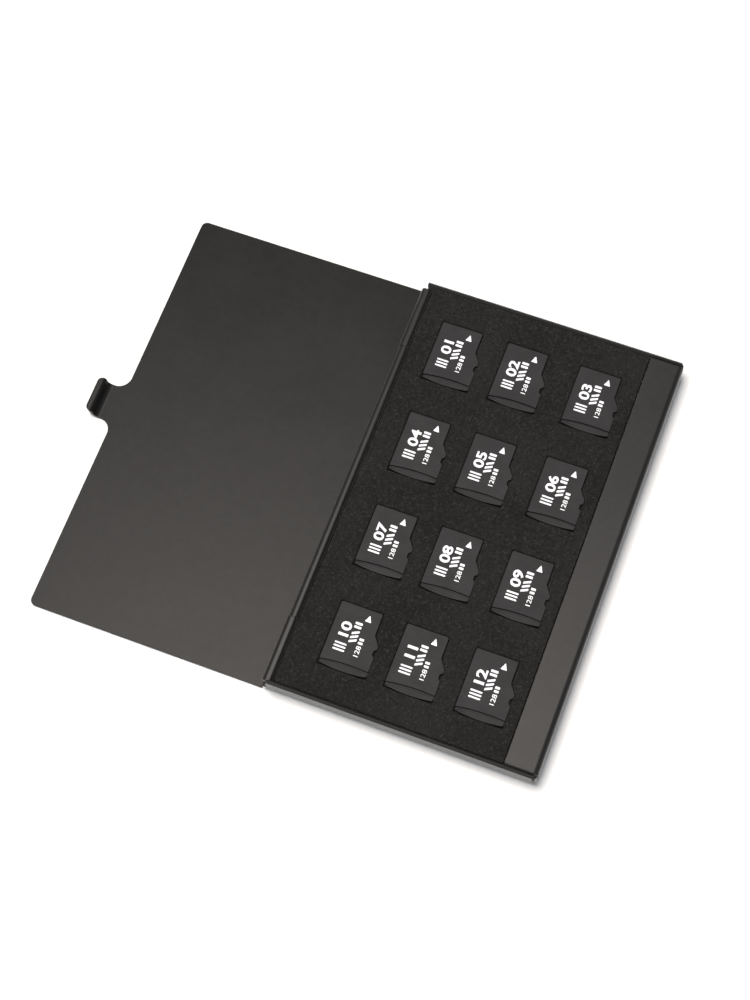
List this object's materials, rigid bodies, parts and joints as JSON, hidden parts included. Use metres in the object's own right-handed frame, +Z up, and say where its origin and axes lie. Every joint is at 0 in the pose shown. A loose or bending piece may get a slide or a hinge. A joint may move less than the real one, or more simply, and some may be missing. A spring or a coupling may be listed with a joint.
{
  "type": "memory card case",
  "caption": "Flat folded-metal case for small memory cards: sheet lid on a knuckle hinge with a latch tongue, and a foam insert with a fitted pocket for each card.",
  "frame": {"origin": "centre of the flat underside of the tray", "axes": "+X from the hinge to the front edge of the tray, +Y along the hinge, +Z up; at rest the lid lies open, flat beside the tray towards -X"},
  "size_m": [0.1245, 0.101, 0.0067],
  "materials": {
    "tray_metal": "dark anodised, fine satin",
    "lid_metal": "dark anodised, fine satin",
    "pin_steel": "bright drawn wire",
    "adhesive": "matt tissue tape",
    "foam": "closed-cell foam, skived matt face",
    "card_plastic": "moulded, fine satin, white print",
    "contact_gold": "bright gold plate"
  },
  "bodies": {
    "case_body": {"base_tray": "tray_metal", "hinge_pin": "pin_steel", "adhesive_sheet": "adhesive", "foam_base": "foam", "foam_cutout": "foam"},
    "lid": {"lid_plate": "lid_metal"},
    "card_01": {"memory_card_01": "card_plastic", "card_contacts_01": "contact_gold"},
    "card_02": {"memory_card_02": "card_plastic", "card_contacts_02": "contact_gold"},
    "card_03": {"memory_card_03": "card_plastic", "card_contacts_03": "contact_gold"},
    "card_04": {"memory_card_04": "card_plastic", "card_contacts_04": "contact_gold"},
    "card_05": {"memory_card_05": "card_plastic", "card_contacts_05": "contact_gold"},
    "card_06": {"memory_card_06": "card_plastic", "card_contacts_06": "contact_gold"},
    "card_07": {"memory_card_07": "card_plastic", "card_contacts_07": "contact_gold"},
    "card_08": {"memory_card_08": "card_plastic", "card_contacts_08": "contact_gold"},
    "card_09": {"memory_card_09": "card_plastic", "card_contacts_09": "contact_gold"},
    "card_10": {"memory_card_10": "card_plastic", "card_contacts_10": "contact_gold"},
    "card_11": {"memory_card_11": "card_plastic", "card_contacts_11": "contact_gold"},
    "card_12": {"memory_card_12": "card_plastic", "card_contacts_12": "contact_gold"}
  },
  "joints": [
    {"name": "lid_hinge", "type": "hinge", "parent": "case_body", "child": "lid", "pos_m": [-0.03, 0, 0.00378], "axis": [0, 1, 0], "range_deg": [0, 180]},
    {"name": "card_01_lift", "type": "slide", "parent": "case_body", "child": "card_01", "axis": [0, 0, 1], "range_m": [0, 0.015]},
    {"name": "card_02_lift", "type": "slide", "parent": "case_body", "child": "card_02", "axis": [0, 0, 1], "range_m": [0, 0.015]},
    {"name": "card_03_lift", "type": "slide", "parent": "case_body", "child": "card_03", "axis": [0, 0, 1], "range_m": [0, 0.015]},
    {"name": "card_04_lift", "type": "slide", "parent": "case_body", "child": "card_04", "axis": [0, 0, 1], "range_m": [0, 0.015]},
    {"name": "card_05_lift", "type": "slide", "parent": "case_body", "child": "card_05", "axis": [0, 0, 1], "range_m": [0, 0.015]},
    {"name": "card_06_lift", "type": "slide", "parent": "case_body", "child": "card_06", "axis": [0, 0, 1], "range_m": [0, 0.015]},
    {"name": "card_07_lift", "type": "slide", "parent": "case_body", "child": "card_07", "axis": [0, 0, 1], "range_m": [0, 0.015]},
    {"name": "card_08_lift", "type": "slide", "parent": "case_body", "child": "card_08", "axis": [0, 0, 1], "range_m": [0, 0.015]},
    {"name": "card_09_lift", "type": "slide", "parent": "case_body", "child": "card_09", "axis": [0, 0, 1], "range_m": [0, 0.015]},
    {"name": "card_10_lift", "type": "slide", "parent": "case_body", "child": "card_10", "axis": [0, 0, 1], "range_m": [0, 0.015]},
    {"name": "card_11_lift", "type": "slide", "parent": "case_body", "child": "card_11", "axis": [0, 0, 1], "range_m": [0, 0.015]},
    {"name": "card_12_lift", "type": "slide", "parent": "case_body", "child": "card_12", "axis": [0, 0, 1], "range_m": [0, 0.015]}
  ]
}
